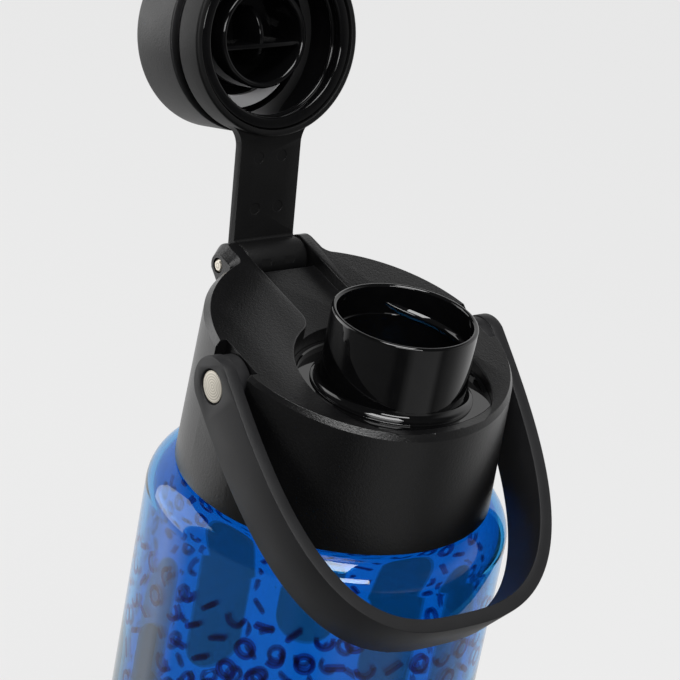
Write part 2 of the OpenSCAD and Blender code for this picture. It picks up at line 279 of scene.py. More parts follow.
# making nodes
def newGroup(name, inputs, outputs):
    # a socket is a number unless it is called Vector
    group = bpy.data.node_groups.new(name, "ShaderNodeTree")
    for way, labels in (("INPUT", inputs), ("OUTPUT", outputs)):
        for label in labels:
            kind = "NodeSocketVector" if label == "Vector" else "NodeSocketFloat"
            group.interface.new_socket(label, in_out=way, socket_type=kind)
    return group, group.nodes.new("NodeGroupInput"), group.nodes.new("NodeGroupOutput")


def feed(tree, target, links):
    # a socket is linked, and anything else is set
    for key, value in links.items():
        if isinstance(value, bpy.types.NodeSocket):
            tree.links.new(value, target.inputs[key])
        else:
            target.inputs[key].default_value = value


def node(tree, kind, links=None, **values):
    made = tree.nodes.new("ShaderNode" + kind)
    for key, value in values.items():
        setattr(made, key, value)
    feed(tree, made, links or {})
    return made


def math2(tree, operation, a, b=0.0, c=0.0):
    return node(tree, "Math", {0: a, 1: b, 2: c}, operation=operation).outputs[0]


def across2(tree, a, b):
    # length of the slanted side over a and b
    square = math2(tree, "ADD", math2(tree, "MULTIPLY", a, a), math2(tree, "MULTIPLY", b, b))
    return math2(tree, "SQRT", square)


def mapped(tree, value, span, to=(0.0, 1.0), **values):
    links = {"Value": value, "From Min": span[0], "From Max": span[1], "To Min": to[0], "To Max": to[1]}
    return node(tree, "MapRange", links, **values).outputs[0]


def mixed(tree, share, a, b):
    return node(tree, "Mix", {0: share, 2: a, 3: b}, data_type="FLOAT").outputs[0]


# grain and polish, node groups that several finishes share
marks = {
    "fineDetail": 2.0, "fineRough": 0.65, "pitScale": 0.55, "pitShare": 0.6, "slowScale": 0.02, "slowDetail": 3.0,
    "waveScale": 60.0, "waveDetail": 1.0, "hazeScale": 240.0, "hazeDetail": 4.0,
}


def mouldGrain():
    # fine spark-eroded grain, with slow patches over it
    g, given, out = newGroup("mouldGrain", ["Vector", "Scale"], ["Height", "Patch"])
    place, scale = given.outputs[0], given.outputs[1]
    fine = node(g, "TexNoise", {"Vector": place, "Scale": scale, "Detail": marks["fineDetail"],
                                "Roughness": marks["fineRough"]})
    pitScale = math2(g, "MULTIPLY", scale, marks["pitScale"])
    pits = node(g, "TexVoronoi", {"Vector": place, "Scale": pitScale}, feature="SMOOTH_F1")
    slowScale = math2(g, "MULTIPLY", scale, marks["slowScale"])
    slow = node(g, "TexNoise", {"Vector": place, "Scale": slowScale, "Detail": marks["slowDetail"]})
    height = math2(g, "MULTIPLY_ADD", pits.outputs["Distance"], marks["pitShare"], fine.outputs[0])
    feed(g, out, {"Height": height, "Patch": slow.outputs[0]})
    return g


def polishMarks():
    # faint ripples and specks of a polished moulding
    g, given, out = newGroup("polishMarks", ["Vector"], ["Height", "Haze"])
    place = given.outputs[0]
    wave = node(g, "TexNoise", {"Vector": place, "Scale": marks["waveScale"], "Detail": marks["waveDetail"]})
    haze = node(g, "TexNoise", {"Vector": place, "Scale": marks["hazeScale"], "Detail": marks["hazeDetail"]})
    feed(g, out, {"Height": wave.outputs[0], "Haze": haze.outputs[0]})
    return g


# the print, in millimetres, with cells counted round the bottle
motif = {
    "rowH": 8.4, "perTurn": 38.0, "cellW": 8.66, "edge": 0.12, "top": 184.0, "bottom": 22.0,
    "kindSeed": 3.0, "leanSeed": 8.0, "lean": 2.2, "rings": 0.33, "arcs": 0.62,  # shares, added up
    "ringR": 2.4, "ringHalf": 0.75, "arcCut": 0.4, "strokeHalf": 2.2, "strokeR": 0.85,
    "tallRows": ((134.0, 0.0, 1.0), (62.0, 0.5, 5.0)),  # height, shift and seed
    "tallPerTurn": 11.0, "tallW": 29.93, "driftSeed": 2.0, "tallDrift": 16.0,
    "reachSeed": 6.0, "tallLeast": 8.0, "tallMore": 12.0, "tallR": 9.8, "clearR": 11.4,
}


def printMotif():
    # small navy rings, arcs and strokes, with tall teal pebbles among them
    m = motif
    g, given, out = newGroup("printMotif", ["Vector"], ["Small", "Tall"])

    def do(operation, a, b=0.0, c=0.0):
        return math2(g, operation, a, b, c)

    def soft(value, at):
        return mapped(g, value, (at + m["edge"], at - m["edge"]))

    def chance(a, b, seed):
        spot = node(g, "CombineXYZ", {0: a, 1: b, 2: seed}).outputs[0]
        return node(g, "TexWhiteNoise", {"Vector": spot}, noise_dimensions="3D").outputs["Value"]

    def fromMiddle(value, wide):
        return do("MULTIPLY", do("SUBTRACT", do("FRACT", value), 0.5), wide)

    def beyond(value, reach):
        return do("MAXIMUM", do("SUBTRACT", do("ABSOLUTE", value), reach), 0.0)

    apart = node(g, "SeparateXYZ", {0: given.outputs[0]}).outputs
    turn = do("DIVIDE", do("ARCTAN2", apart[1], apart[0]), math.tau)
    height = do("DIVIDE", apart[2], mm)
    row = do("DIVIDE", height, m["rowH"])
    line = do("FLOOR", row)
    stagger = do("MULTIPLY", do("MODULO", line, 2.0), 0.5)
    step = do("ADD", do("MULTIPLY", turn, m["perTurn"]), stagger)
    cell = do("FLOOR", step)
    x, y = fromMiddle(step, m["cellW"]), fromMiddle(row, m["rowH"])
    kind, lean = chance(cell, line, m["kindSeed"]), chance(cell, line, m["leanSeed"])
    angle = do("MULTIPLY", do("SUBTRACT", lean, 0.5), m["lean"])
    c, q = do("COSINE", angle), do("SINE", angle)
    u = do("SUBTRACT", do("MULTIPLY", x, c), do("MULTIPLY", y, q))
    v = do("ADD", do("MULTIPLY", x, q), do("MULTIPLY", y, c))
    ring = soft(do("ABSOLUTE", do("SUBTRACT", across2(g, u, v), m["ringR"])), m["ringHalf"])
    half = do("MULTIPLY", ring, soft(v, m["arcCut"]))
    stroke = soft(across2(g, beyond(u, m["strokeHalf"]), v), m["strokeR"])
    first = mixed(g, do("GREATER_THAN", kind, m["rings"]), ring, half)
    small = mixed(g, do("GREATER_THAN", kind, m["arcs"]), first, stroke)
    tall = None
    for middle, shift, seed in m["tallRows"]:
        across = do("ADD", do("MULTIPLY", turn, m["tallPerTurn"]), shift)
        pick = do("FLOOR", across)
        drift = chance(pick, seed, m["driftSeed"])
        centre = do("MULTIPLY_ADD", drift, m["tallDrift"], middle - m["tallDrift"] / 2)
        reach = do("MULTIPLY_ADD", chance(pick, seed, m["reachSeed"]), m["tallMore"], m["tallLeast"])
        far = across2(g, fromMiddle(across, m["tallW"]), beyond(do("SUBTRACT", height, centre), reach))
        tall = far if tall is None else do("MINIMUM", tall, far)
    band = do("MULTIPLY", soft(height, m["top"]), do("GREATER_THAN", height, m["bottom"]))
    clear = do("SUBTRACT", 1.0, soft(tall, m["clearR"]))
    feed(g, out, {"Small": do("MULTIPLY", do("MULTIPLY", small, band), clear),
                  "Tall": do("MULTIPLY", soft(tall, m["tallR"]), band)})
    return g


groups = {"grain": mouldGrain(), "polish": polishMarks(), "print": printMotif()}


def newMaterial(name, values):
    made = bpy.data.materials.new(name)
    made.use_nodes = True
    tree = made.node_tree
    shader = tree.nodes["Principled BSDF"]
    feed(tree, shader, values)
    return made, tree, shader


def placed(tree, group, **values):
    links = {"Vector": node(tree, "TexCoord").outputs["Object"], **values}
    return node(tree, "Group", links, node_tree=groups[group]).outputs


noiseSpan = (0.3, 0.7)    # most of a noise lies between these


def toned(tree, shader, finish, tone, haze):
    ramp = node(tree, "ValToRGB", {0: tone})
    for stop, at, colour in zip(ramp.color_ramp.elements, noiseSpan, (finish["dark"], finish["light"])):
        stop.position, stop.color = at, colour + (1,)
    feed(tree, shader, {"Base Color": ramp.outputs[0], "Roughness": mapped(tree, haze, noiseSpan, finish["rough"])})


def bump(tree, shader, height, strength, distance, **more):
    links = {"Height": height, "Strength": strength, "Distance": distance * mm, **more}
    feed(tree, shader, {"Normal": node(tree, "Bump", links).outputs[0]})


glossTones = {"dark": (0.0018, 0.0018, 0.002), "light": (0.0026, 0.0026, 0.0028)}
finishes = {
    "lidMatte": {"dark": (0.0018, 0.0018, 0.002), "light": (0.0034, 0.0034, 0.0037), "rough": (0.28, 0.33),
                 "shine": 0.5, "grain": 2600.0, "bump": 0.45},
    "knobMatte": {"dark": (0.0045, 0.0045, 0.0048), "light": (0.0075, 0.0075, 0.008), "rough": (0.42, 0.5),
                  "shine": 0.4, "grain": 2600.0, "bump": 0.45},
    "softCharcoal": {"dark": (0.0066, 0.0066, 0.0074), "light": (0.0095, 0.0095, 0.0105), "rough": (0.5, 0.58),
                     "shine": 0.36, "grain": 4200.0, "bump": 0.14},
    "strapSoft": {"dark": (0.002, 0.002, 0.0021), "light": (0.003, 0.003, 0.0032), "rough": (0.46, 0.54),
                  "shine": 0.2, "grain": 3000.0, "bump": 0.3},
    "glossBlack": {**glossTones, "rough": (0.03, 0.06), "shine": 0.5},
    "capGloss": {**glossTones, "rough": (0.05, 0.09), "shine": 0.28},
    "rivetSteel": {"dark": (0.38, 0.355, 0.3), "light": (0.57, 0.535, 0.47), "rough": (0.36, 0.44), "pitch": 0.74},
    "pinSteel": {"dark": (0.5, 0.465, 0.4), "light": (0.74, 0.69, 0.6), "rough": (0.36, 0.44), "pitch": 0.9},
    "clearSilicone": {"dark": (0.42, 0.42, 0.43), "light": (0.55, 0.55, 0.56), "rough": (0.45, 0.6),
                      "grain": 1800.0, "bump": 0.08, "depth": 0.1, "scatter": 0.2, "scatterR": 0.002},
    "bottleBlue": {"tint": (0.035, 0.33, 0.74), "ink": (0.014, 0.02, 0.13), "patch": (0.03, 0.13, 0.22),
                   "rough": (0.015, 0.03)},
}
# what all finishes of a kind have, depths and roundings in millimetres
common = {"ior": 1.5, "edge": 0.25, "edgeSamples": 4, "grainDepth": 0.12, "waveBump": 0.05, "waveDepth": 0.4,
          "ringShare": 0.6, "ringBump": 0.15, "ringDepth": 0.02}


def mattePlastic(name):
    f = finishes[name]
    made, tree, shader = newMaterial(name, {"Specular IOR Level": f["shine"]})
    grain = placed(tree, "grain", Scale=f["grain"])
    toned(tree, shader, f, grain["Patch"], grain["Patch"])
    rounded = node(tree, "Bevel", {"Radius": common["edge"] * mm}, samples=common["edgeSamples"]).outputs[0]
    bump(tree, shader, grain["Height"], f["bump"], common["grainDepth"], Normal=rounded)
    return made


def glossPlastic(name):
    f = finishes[name]
    made, tree, shader = newMaterial(name, {"IOR": common["ior"], "Specular IOR Level": f["shine"]})
    polish = placed(tree, "polish")
    toned(tree, shader, f, polish["Haze"], polish["Haze"])
    bump(tree, shader, polish["Height"], common["waveBump"], common["waveDepth"])
    return made


def turnedSteel(name, axis):
    # rings that the tool left on a turned face, about an axis along X
    f = finishes[name]
    made, tree, shader = newMaterial(name, {"Metallic": 1.0})
    apart = node(tree, "SeparateXYZ", {0: node(tree, "TexCoord").outputs["Object"]}).outputs
    y = math2(tree, "SUBTRACT", apart[1], axis.y * mm)
    z = math2(tree, "SUBTRACT", apart[2], axis.z * mm)
    rings = math2(tree, "SINE", math2(tree, "MULTIPLY", across2(tree, y, z), math.tau / (f["pitch"] * mm)))
    haze = placed(tree, "polish")["Haze"]
    cut = math2(tree, "ADD", math2(tree, "MULTIPLY", rings, common["ringShare"]), haze)
    toned(tree, shader, f, cut, haze)
    bump(tree, shader, rings, common["ringBump"], common["ringDepth"])
    return made


def siliconeRubber(name):
    f = finishes[name]
    soft = {"Subsurface Weight": f["scatter"], "Subsurface Radius": (f["scatterR"],) * 3}
    made, tree, shader = newMaterial(name, soft)
    grain = placed(tree, "grain", Scale=f["grain"])
    toned(tree, shader, f, grain["Patch"], grain["Patch"])
    bump(tree, shader, grain["Height"], f["bump"], f["depth"])
    return made


def tintedBottle(name):
    # clear blue wall with the print on it
    f = finishes[name]
    made, tree, shader = newMaterial(name, {"Transmission Weight": 1.0, "IOR": common["ior"]})
    printed = placed(tree, "print")
    first = node(tree, "MixRGB", {0: printed["Tall"], 1: f["tint"] + (1,), 2: f["patch"] + (1,)}).outputs[0]
    second = node(tree, "MixRGB", {0: printed["Small"], 1: first, 2: f["ink"] + (1,)}).outputs[0]
    haze = placed(tree, "polish")["Haze"]
    feed(tree, shader, {"Base Color": second, "Roughness": mapped(tree, haze, noiseSpan, f["rough"])})
    return made


materials = {
    "lid": mattePlastic("lidMatte"),
    "knob": mattePlastic("knobMatte"),
    "charcoal": mattePlastic("softCharcoal"),
    "strap": mattePlastic("strapSoft"),
    "gloss": glossPlastic("glossBlack"),
    "capGloss": glossPlastic("capGloss"),
    "rivet": turnedSteel("rivetSteel", pivot),
    "pin": turnedSteel("pinSteel", hinge),
    "silicone": siliconeRubber("clearSilicone"),
    "bottle": tintedBottle("bottleBlue"),
}
print("materials ready")

# bottle, and the thread on its neck
bottle = {
    "radius": 52.4, "wall": 2.4, "shoulder": 10.0, "shoulderTop": 204.4, "heel": 9.0, "foot": 5.0, "punt": 5.0,
    "puntSteps": 6, "neckR": 39.0, "neckWall": 2.6, "neckTop": 223.0, "neckRoot": 0.8, "lip": 0.6, "steps": 160,
    "pitch": 6.0, "turns": 1.5, "threadZ": 207.6, "threadOut": 0.9, "threadSunk": 0.02, "threadSteps": 144,
    "threadRise": (0.7, 1.3, 2.0),
}


def makeBottle():
    b = bottle
    footIn = b["radius"] - b["heel"] - b["foot"]
    dome = (footIn ** 2 + b["punt"] ** 2) / (2 * b["punt"])
    rs, zs = b["radius"] - b["shoulder"], b["shoulderTop"] - b["shoulder"]
    rh, zh, w = b["radius"] - b["heel"], b["heel"], b["wall"]
    n, ni, root, lip = b["neckR"], b["neckR"] - b["neckWall"], b["neckRoot"], b["lip"]
    rings = [footIn * i / b["puntSteps"] for i in range(b["puntSteps"] + 1)]

    def domeAt(r, more=0.0):
        return b["punt"] - dome + math.sqrt((dome + more) ** 2 - r * r)

    line = [(r, domeAt(r)) for r in rings]
    line += arc(rh, zh, b["heel"], -90, 0, 12)
    line += arc(rs, zs, b["shoulder"], 0, 90, 20)
    line += arc(n + root, b["shoulderTop"] + root, root, -90, -180, 5)
    line += arc(n - lip, b["neckTop"] - lip, lip, 0, 90, 4)
    line += arc(ni + lip, b["neckTop"] - lip, lip, 90, 180, 4)
    line += arc(ni + root, b["shoulderTop"] - w + root, root, 180, 270, 5)
    line += arc(rs, zs, b["shoulder"] - w, 90, 0, 16)
    line += arc(rh, zh, b["heel"] - w, 0, -90, 10)
    line += [(r, domeAt(r, w)) for r in reversed(rings)]
    piece = lathe("bottle", line, b["steps"])
    smooth(piece, 40)
    settle(piece, "bottle", materials["bottle"], ["bottle_body"])
    r, z = n - b["threadSunk"], b["threadZ"]
    out, (low, high, end) = r + b["threadOut"], b["threadRise"]
    line = [(r, 0, z), (out, 0, z + low), (out, 0, z + high), (r, 0, z + end), (r, 0, z)]
    thread = screwed("neckThread", line, 360 * b["turns"], b["turns"] * b["pitch"], b["threadSteps"])
    smooth(thread)
    settle(thread, "bottle", materials["bottle"])


makeBottle()

# lid
lid = {
    "baseR": 45.5, "draft": 1.1, "coneH": 70, "segments": 192, "far": 90, "cutTop": 330,
    "bevelR": 43.4, "bevelLean": 0.65, "bevelShift": 0.9, "bevelDown": 60, "bevelUp": 5,
    "boreR": 42.4, "boreH": 22.6, "boreUnder": 5, "boreSteps": 160,
    "wellR": 20.8, "wellZ": 10, "wellSteps": 96,
    "recessR": 28.3, "recessD": 3.6, "recessSteps": 144, "frontR": 41.1, "frontD": 12,
    "channelHalf": 10.9, "channelD": 3.8, "barrelRoom": 6.9, "floorEdgeR": 2.7,
    "edgeDrop": 3.2, "edgeBarrel": 6.6, "edgeFillet": 3.0,  # what the floor's edge is rounded about
    "cornerR": 7.5, "cornerIn": 3, "cornerY": (10, 30), "cornerLap": 0.02, "cornerUp": 0.005, "cornerH": 30,
    "flatX": 44.3, "flatTop": 300, "flatDown": 20, "flatFoot": 31, "flatOut": 80, "flatHalf": 60,
    "notchX": 40.5, "notchR": 8.6, "notchEnd": 392, "notchSteps": 33, "notchDeep": 30,
    "edge": 0.5, "edgeX": 36, "edgeR": 41.6, "edgeHalf": 11.5, "fall": 1.6, "edgeSteps": 5,
    "nearTop": 0.02, "nearFloor": 0.05, "nearRecess": 0.3,
}
ears = {
    "x": 17.3, "inX": 10.5, "thick": 20, "over": 0.35, "above": 1.5, "root": 13.0, "sunk": 0.5, "inward": 8,
    "flare": 1.5, "flareLap": 0.15, "planX": 5, "planY": (20, 70), "planZ": 200, "planH": 80,
    "holeR": 2.27, "holeX": (15.6, 30), "holeSteps": 43,
    "bevel": 2.8, "depth": 2.4, "past": 1, "up": 2, "round": 4.1, "early": 0.3, "late": 0.6,
    "lap": 0.05, "sweepUp": 6, "ringOut": 9, "steps": 96,
    "sectorR": 25, "sectorMore": 2, "sectorBack": 0.4, "sectorX": 5, "sectorW": 40, "tailBack": 0.8, "tailRun": 30,
}


def earTool(side):
    e, rim = ears, lid["baseR"] - lid["draft"]
    x, w, d, past = e["x"], e["bevel"], e["depth"], e["past"]
    flush = jug["hingeDrop"] * tiltCos
    r = flush + e["over"]
    rootY, rootZ = math.sqrt(rim ** 2 - x ** 2) - e["sunk"], hinge.z - e["root"]
    inY = rootY - e["inward"]
    down = math.degrees(math.atan2(e["root"], hinge.y - rootY)) - 90
    crest = hinge.y - r * tiltSin
    outline = [(inY, topAt(inY) + e["above"]), (crest, topAt(crest) + e["above"])]
    outline += arc(hinge.y, hinge.z, r, 90 + jug["tilt"], down, 24)
    outline += [(rootY, rootZ), (inY, rootZ)]
    ear = slab("ear", [(side * e["inX"], y, z) for y, z in outline], (side * e["thick"], 0, 0))
    nearY, farY = e["planY"]
    plan = [(side * e["planX"], nearY)] + flareArc(rim - e["flareLap"], x, e["flare"], 12, side)
    plan += [(side * x, farY), (side * e["planX"], farY)]
    carve(ear, slab("earPlan", [(u, v, e["planZ"]) for u, v in plan], (0, 0, e["planH"])), "INTERSECT")
    inner, outer = (Vector((side * u, hinge.y, hinge.z)) for u in e["holeX"])
    carve(ear, rod("pinHole", e["holeR"], inner, outer, e["holeSteps"]))

    # bevel along the top, swept at the root, round the knuckle and down the back
    lean, bend, rounding = w / d, e["flare"], e["round"]
    wedge = [(x - w - lean * e["up"], e["up"]), (x + lean * past, -d - past), (x + lean * past, e["up"])]

    def cutWedge(spot, normal, push):
        carve(ear, slab("wedge", [spot + Vector((side * u, 0, 0)) + normal * v for u, v in wedge], push))

    turnX = x - w + rounding
    turnY = math.sqrt((lid["bevelR"] * topNormal.z + rounding) ** 2 - turnX ** 2) - lid["bevelShift"]
    start = Vector((0, turnY - e["early"], topAt(turnY - e["early"])))
    cutWedge(start, topNormal, upSlope * ((crest + e["late"] - turnY) / upSlope.y))
    foot, up = Vector((side * turnX, turnY, topAt(turnY))), e["sweepUp"]
    wide = rounding + e["lap"] + (rounding - bend) / d * up
    carve(ear, taper("sweep", bend + e["lap"], wide, foot - topNormal * d, foot + topNormal * up, e["steps"]))
    inX, outX, outR = x - w - past, x + past, flush + e["ringOut"]
    ring = [(flush + past / lean, inX), (outR, inX), (outR, outX), (flush - d - past / lean, outX)]
    ring = lathe("ring", [(u, side * v) for u, v in ring + ring[:1]], e["steps"], hinge, "X")
    far, more = e["sectorR"], math.radians(down - e["sectorMore"])
    around = [(hinge.y, hinge.z), (hinge.y + far * math.cos(more), hinge.z + far * math.sin(more)),
              (hinge.y + far, overTop), (hinge.y + far * topNormal.y - e["sectorBack"], hinge.z + far * topNormal.z)]
    sector = slab("sector", [(side * e["sectorX"], y, z) for y, z in around], (side * e["sectorW"], 0, 0))
    carve(ring, sector, "INTERSECT")
    carve(ear, ring)
    tail = Vector((0, *arc(hinge.y, hinge.z, r, down, down, 1)[0]))
    run = (Vector((0, rootY, rootZ)) - tail).normalized()
    cutWedge(tail - run * e["tailBack"], Vector((0, -run.z, run.y)), run * e["tailRun"])
    return ear


def channelTool():
    l = lid
    sc, nc, away = barrelFillet((jug["hingeDrop"] - l["edgeDrop"]) * tiltCos, l["edgeBarrel"], l["edgeFillet"])
    floorN = (jug["hingeDrop"] - l["channelD"]) * tiltCos
    begin = math.degrees(math.asin((floorN - nc) / l["floorEdgeR"]))
    line = arc(sc, nc, l["floorEdgeR"], begin, away - 180, 8)
    line += arc(0, 0, l["barrelRoom"], away, 360 - jug["tilt"], 24)[1:]
    line = [(0, topAt(0) - l["channelD"])] + atHinge(line) + [(hinge.y + l["barrelRoom"], overTop), (0, overTop)]
    return slab("channel", [(-l["channelHalf"], y, z) for y, z in line], (2 * l["channelHalf"], 0, 0))


def sideTools(side):
    # corner of the channel, flat beside the handle and notch for its hub
    l, lap = lid, lid["cornerLap"]
    corner = [(side * l["cornerIn"], l["cornerY"][0])]
    corner += flareArc(l["recessR"] - lap, l["channelHalf"] - lap, l["cornerR"], 14, side)
    corner += [(side * l["cornerIn"], l["cornerY"][1])]
    corner = [(x, y + jug["spoutY"]) for x, y in corner]
    corner = [(x, y, topAt(y) - l["channelD"] + l["cornerUp"]) for x, y in corner]
    yield slab("corner", corner, (0, 0, l["cornerH"]))
    foot = pivot.z - l["flatFoot"]
    flat = [(l["flatX"], l["flatTop"]), (l["flatX"], pivot.z - l["flatDown"]), (l["baseR"], foot),
            (l["flatOut"], foot), (l["flatOut"], l["flatTop"])]
    yield slab("flat", [(side * x, -l["flatHalf"], z) for x, z in flat], (0, 2 * l["flatHalf"], 0))
    notch = arc(0, pivot.z, l["notchR"], 180, l["notchEnd"], l["notchSteps"])
    notch += [(notch[-1][0], overTop), (-l["notchR"], overTop)]
    yield slab("notch", [(side * l["notchX"], y, z) for y, z in notch], (side * l["notchDeep"], 0, 0))


def makeLid():
    l, z0, spoutY, many = lid, jug["lidZ"], jug["spoutY"], lid["segments"]
    narrow = l["baseR"] - l["draft"] * l["coneH"] / jug["topH"]
    piece = taper("lid", l["baseR"], narrow, (0, 0, z0), (0, 0, z0 + l["coneH"]), many)
    middle, below, above = topPoint - upSlope * l["bevelShift"], l["bevelDown"], l["bevelUp"]
    bevel = taper("rimBevel", l["bevelR"] + below * l["bevelLean"], l["bevelR"] - above * l["bevelLean"],
                  middle - topNormal * below, middle + topNormal * above, many)
    carve(piece, bevel, "INTERSECT")
    for side in (1, -1):
        carve(piece, earTool(side), "UNION")
    far = l["far"]
    over = [(-far, topAt(-far)), (far, topAt(far)), (far, l["cutTop"]), (-far, l["cutTop"])]
    carve(piece, slab("above", [(-far, y, z) for y, z in over], (2 * far, 0, 0)))
    carve(piece, rod("bore", l["boreR"], (0, 0, z0 - l["boreUnder"]), (0, 0, z0 + l["boreH"]), l["boreSteps"]))
    carve(piece, rod("well", l["wellR"], (0, spoutY, z0 + l["wellZ"]), (0, spoutY, floorZ), l["wellSteps"]))
    recess = rod("recess", l["recessR"], (0, spoutY, floorZ - l["recessD"]), (0, spoutY, overTop), l["recessSteps"])
    under = floorZ - l["frontD"]
    front = [(l["frontR"], under), (far, under), (far, floorZ), (l["frontR"], floorZ), (l["frontR"], under)]
    carve(recess, lathe("front", front, many))
    carve(piece, recess)
    carve(piece, channelTool())
    for side in (1, -1):
        for tool in sideTools(side):
            carve(piece, tool)
    cleaned(piece, 0.02)
    fall = l["channelD"] * tiltCos

    def level(p):
        return (p - topPoint).dot(topNormal)

    def topEdge(e, p):
        inside = math.hypot(p.x, p.y) < l["edgeR"] or abs(p.x) < l["edgeHalf"]
        return sharp(e, 60) and abs(level(p)) < l["nearTop"] and abs(p.x) < l["edgeX"] and inside

    def fallEdge(e, p):
        off = math.hypot(p.x, p.y - spoutY) - l["recessR"]
        return sharp(e, 50) and abs(level(p) + fall) < l["nearFloor"] and abs(off) < l["nearRecess"]

    print("edges", bevelWhere(piece, l["edge"], l["edgeSteps"], topEdge, clamp=False))
    print("fall", bevelWhere(piece, l["fall"], l["edgeSteps"], fallEdge))
    smooth(piece, 22)
    settle(piece, "lid", materials["lid"], ["lid_shell"])


makeLid()

# spout and its gloss floor
spout = {
    "outR": 20.5, "boreR": 19.0, "rise": 22.3, "foot": 227.6, "steps": 144,
    "inStep": 0.35, "inStepZ": 50, "inEdge": 0.1, "flare": 2.2, "flareEnd": 262,
    "lipStep": 0.5, "lipEdge": 0.2, "lipIn": 0.05, "lipOut": 0.25, "floorR": 28.15, "floorT": 2.6,
    "ledgeR": 26.6, "ledgeH": 1.3, "ledgeEdge": 0.4, "ledgeCut": 2.6, "trimGap": 0.15, "trimZ": (200, 300),
}
# ridge inside, steep at its pointed start and then level
ridge = {
    "sunk": 0.1, "outline": ((0, -1.5), (1.0, -0.5), (1.1, 0.2), (0.9, 0.8), (0, 1.4), (0, -1.5)),  # inward and up
    "start": 70, "turn": 130, "steps": 60, "point": 14, "least": 0.02, "thin": 0.25,
    "z": 49.6, "climb": 4.1, "ease": 20,
}


def makeRidge():
    g, r = ridge, spout["boreR"] + ridge["sunk"]
    piece = screwed("ridge", [(r - u, 0, v) for u, v in g["outline"]], -g["turn"], 0, g["steps"])
    turned(piece, g["start"], "Z", (0, 0, 0))
    for v in piece.data.vertices:
        on = g["start"] - math.degrees(math.atan2(v.co.y, v.co.x))
        fade = min(1.0, g["least"] + on / g["point"], g["least"] + (g["turn"] - on) / g["point"])
        out = math.hypot(v.co.x, v.co.y)
        put = (r * mm + (out - r * mm) * fade) / out
        lift = (jug["lidZ"] + g["z"] + g["climb"] * math.exp(-on / g["ease"])) * mm
        v.co = (v.co.x * put, v.co.y * put + jug["spoutY"] * mm, v.co.z * (g["thin"] + (1 - g["thin"]) * fade) + lift)
    return piece


def makeSpout():
    s, c, z, inEdge = spout, spoutAxis, floorZ, spout["inEdge"]
    lipR = (s["outR"] - s["boreR"]) / 2
    step, narrow, wide = jug["lidZ"] + s["inStepZ"], s["boreR"] - s["inStep"], s["outR"] + s["flare"]
    line = [(narrow, s["foot"]), (narrow, step - inEdge), (narrow + inEdge, step), (s["boreR"], step)]
    line += arc(s["boreR"] + lipR, z + s["rise"] - lipR, lipR, 180, 0, 10)
    line += arc(wide, z + s["lipStep"] + s["flare"], s["flare"], 180, s["flareEnd"], 10)
    line += arc(wide + s["lipIn"], z + s["lipStep"] - s["lipEdge"], s["lipEdge"], 80, 0, 3)
    line += [(wide + s["lipOut"], z), (s["floorR"], z), (s["floorR"], z - s["floorT"]), (s["outR"], z - s["floorT"])]
    piece = lathe("drinkSpout", line + [(s["outR"], s["foot"]), (narrow, s["foot"])], s["steps"], c)
    inner, edge, top = s["ledgeR"], s["ledgeEdge"], z + s["ledgeH"]
    line = [(inner, z - edge), (s["floorR"], z - edge), (s["floorR"], top), (inner + edge, top), (inner, top - edge)]
    ledge = lathe("ledge", line + line[:1], s["steps"], c)
    for part in (piece, ledge):
        low, high = ((0, 0, h) for h in s["trimZ"])
        carve(part, rod("trim", lid["frontR"] - s["trimGap"], low, high, lid["segments"]), "INTERSECT")
    editing(ledge)
    edit.bisect(plane_co=(topPoint - Vector((0, 0, s["ledgeCut"]))) * mm, plane_no=topNormal,
                use_fill=True, clear_outer=True)
    finished()
    joined(piece, ledge, makeRidge())
    cleaned(piece, 0.002)
    smooth(piece, 40)
    settle(piece, "lid", materials["gloss"], ["spout"])


makeSpout()

# strap with its ring and barrel, drawn closed and then flipped open
strap = {
    "half": 10.4, "thick": 3.0, "drop": 0.2, "flare": 8.0, "lap": 0.02, "sideLap": 0.01,
    "barrelR": 5.6, "barrelHalf": 10.6, "barrelEdge": 0.8, "filletR": 0.9, "webUp": 0.5, "webBack": 0.2,
    "ringIn": 24.3, "ringOut": 27.9, "seatIn": 26.0, "mouth": 38.6, "seat": 41.1, "ringTop": 47.7, "ringSteps": 144,
    "seatEdge": 0.3, "mouthEdge": 0.9, "topEdge": 0.45,
    "markX": (-4, 4), "markY": (17, 32), "markR": 1.7, "markD": 0.12, "markOut": 2, "markTurn": 160, "markRoom": 1.8,
    "edge": 0.45, "edgeX": 16, "edgeY": 12, "edgeLong": 0.5,
}


